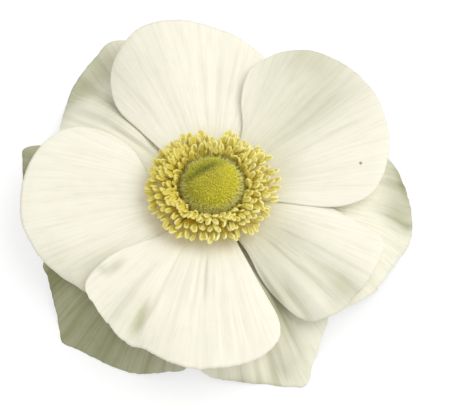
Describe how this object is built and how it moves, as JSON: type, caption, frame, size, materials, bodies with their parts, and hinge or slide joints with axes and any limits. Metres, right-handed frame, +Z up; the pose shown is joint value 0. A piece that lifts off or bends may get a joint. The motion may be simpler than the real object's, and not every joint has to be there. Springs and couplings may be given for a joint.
{
  "type": "anemone flower",
  "caption": "White anemone flower head with broad cream tepals, a ring of yellow stamens and a domed green centre, lying face up on its drooping outer tepals.",
  "frame": {"origin": "on the surface the flower lies on, under the middle of its bounding box", "axes": "+Z up along the flower's axis out of its face, +Y towards the top tepal, +X to the viewer's right when looking down on the face with +Y away"},
  "size_m": [0.0734, 0.0733, 0.0172],
  "materials": {
    "cream_tepal": "soft, matt, cream white petal",
    "green_tepal": "soft, matt, cream petal with a grey-green cast",
    "yellow_anther": "matt, pollen yellow",
    "green_carpel": "matt, hairy yellow-green",
    "green_stalk": "soft, matt, pale green"
  },
  "bodies": {
    "root": {"receptacle_with_stem_stub": "green_stalk", "tepal_inner_top": "cream_tepal", "tepal_inner_right": "cream_tepal", "tepal_inner_lower_right": "cream_tepal", "tepal_inner_bottom": "cream_tepal", "tepal_inner_left": "cream_tepal", "tepal_outer_upper_left": "green_tepal", "tepal_outer_left": "green_tepal", "tepal_outer_lower_left": "green_tepal", "tepal_outer_lower_right": "green_tepal", "tepal_outer_right": "green_tepal", "carpel_dome": "green_carpel", "stamen_group_01": "yellow_anther", "stamen_group_02": "yellow_anther", "stamen_group_03": "yellow_anther", "stamen_group_04": "yellow_anther", "stamen_group_05": "yellow_anther", "stamen_group_06": "yellow_anther", "stamen_group_07": "yellow_anther", "stamen_group_08": "yellow_anther", "stamen_group_09": "yellow_anther", "stamen_group_10": "yellow_anther", "stamen_group_11": "yellow_anther", "stamen_group_12": "yellow_anther", "stamen_group_13": "yellow_anther", "stamen_group_14": "yellow_anther", "stamen_group_15": "yellow_anther", "stamen_group_16": "yellow_anther", "stamen_group_17": "yellow_anther", "stamen_group_18": "yellow_anther"}
  },
  "joints": []
}
